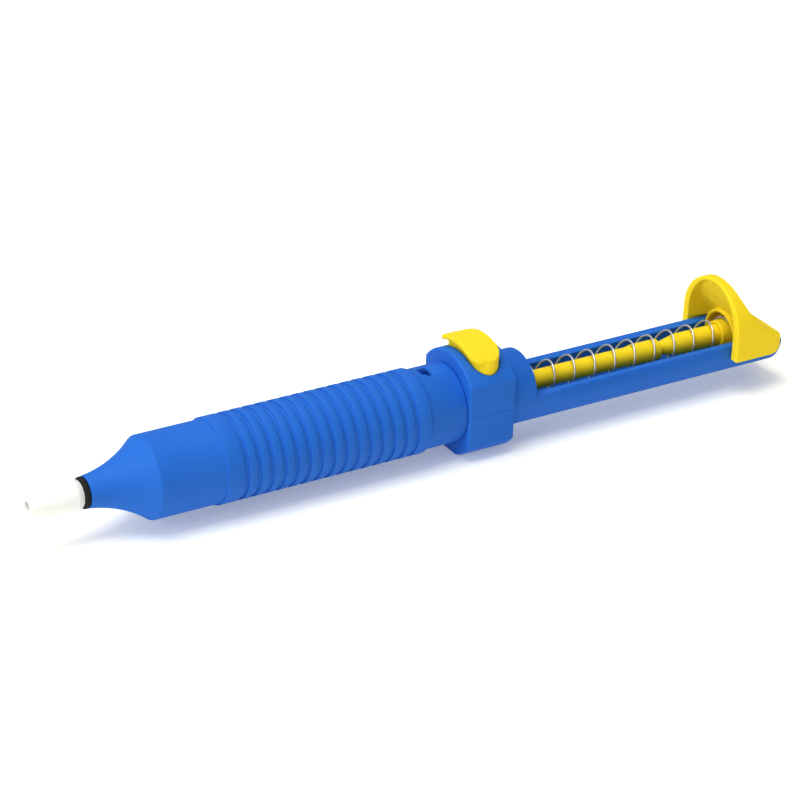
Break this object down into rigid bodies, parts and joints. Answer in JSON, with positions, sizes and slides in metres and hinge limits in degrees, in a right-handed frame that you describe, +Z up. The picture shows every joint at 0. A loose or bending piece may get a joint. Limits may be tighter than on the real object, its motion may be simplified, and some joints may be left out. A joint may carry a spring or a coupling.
{
  "type": "desoldering pump",
  "caption": "Spring-loaded hand suction pump for molten solder, with a ribbed barrel, push nozzle, latch trigger and thumb plunger running between open rails.",
  "frame": {"origin": "middle of the tool's length, on the plane of the collar's flat foot, below the tool's axis", "axes": "+X along the tool's axis from the nozzle to the thumb knob, +Z up through the trigger, +Y across"},
  "size_m": [0.2206, 0.0252, 0.0306],
  "materials": {
    "blue_plastic": "moulded, fine satin texture",
    "yellow_plastic": "moulded, satin",
    "white_fluoropolymer": "waxy, turned",
    "black_rubber": "matt",
    "spring_steel": "bright drawn wire"
  },
  "bodies": {
    "housing": {"rear_housing": "blue_plastic", "main_spring": "spring_steel", "trigger_spring": "spring_steel"},
    "barrel": {"barrel": "blue_plastic", "nozzle": "white_fluoropolymer", "nozzle_seal_ring": "black_rubber"},
    "plunger": {"plunger_rod": "yellow_plastic", "thumb_knob": "yellow_plastic", "piston": "yellow_plastic", "piston_seal_ring": "black_rubber", "bumper_ring": "black_rubber", "cleaning_pin": "spring_steel"},
    "trigger": {"trigger": "yellow_plastic"}
  },
  "joints": [
    {"name": "barrel_twist", "type": "hinge", "parent": "housing", "child": "barrel", "pos_m": [0, 0, 0.0134], "axis": [1, 0, 0], "range_deg": [0, 10]},
    {"name": "plunger_slide", "type": "slide", "parent": "housing", "child": "plunger", "axis": [-1, 0, 0], "range_m": [0, 0.0606], "stiffness_N_per_m": 300, "springref_m": -0.03, "deforming": ["main_spring"]},
    {"name": "trigger_press", "type": "slide", "parent": "housing", "child": "trigger", "axis": [0, 0, -1], "range_m": [0, 0.0016], "stiffness_N_per_m": 800, "springref_m": -0.002, "deforming": ["trigger_spring"]}
  ]
}
